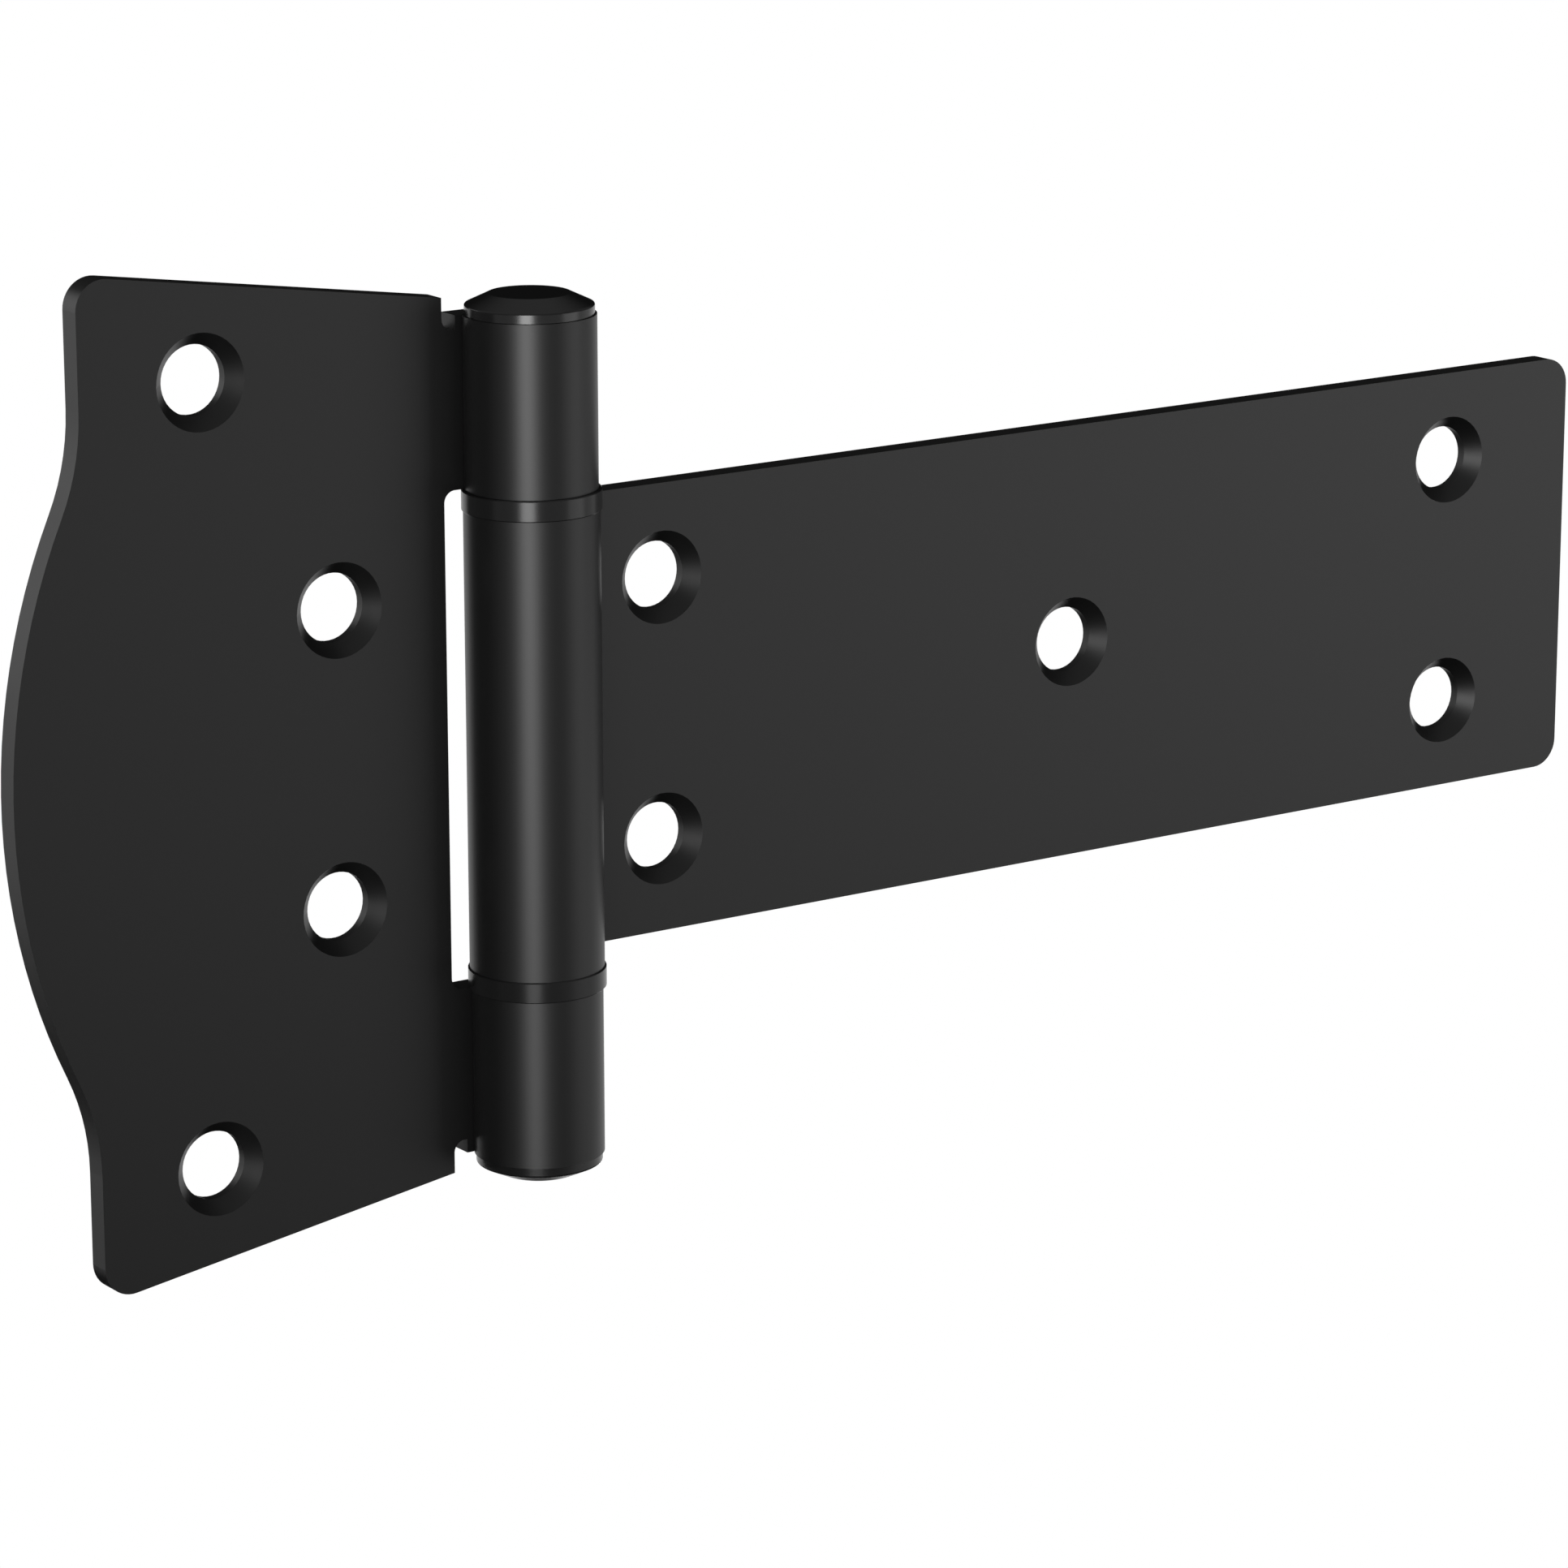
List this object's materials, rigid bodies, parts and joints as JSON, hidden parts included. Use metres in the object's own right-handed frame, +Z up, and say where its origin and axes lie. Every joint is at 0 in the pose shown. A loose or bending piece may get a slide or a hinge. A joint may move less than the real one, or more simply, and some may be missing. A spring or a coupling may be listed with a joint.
{
  "type": "tee hinge",
  "caption": "Tee hinge with a tall bulged post leaf and a long strap leaf, both countersunk for screws and rolled round a headed pin with washers between the knuckles.",
  "frame": {"origin": "middle of the post leaf's outer pair of screw holes, in the plane of the leaves' backs", "axes": "+Z up along the hinge pin, +X from the post leaf towards the strap's free end, +Y into the post and the door, away from the barrel"},
  "size_m": [0.2297, 0.0164, 0.1182],
  "materials": {
    "leaf_coat": "satin black",
    "pin_coat": "satin black",
    "washer_coat": "satin black"
  },
  "bodies": {
    "post": {"post_leaf": "leaf_coat", "hinge_pin": "pin_coat", "pin_cap": "pin_coat", "upper_washer": "washer_coat", "lower_washer": "washer_coat"},
    "strap": {"strap_leaf": "leaf_coat"}
  },
  "joints": [
    {"name": "strap_swing", "type": "hinge", "parent": "post", "child": "strap", "pos_m": [0.0413, -0.0067, 0], "axis": [0, 0, 1], "range_deg": [-180, 105]}
  ]
}
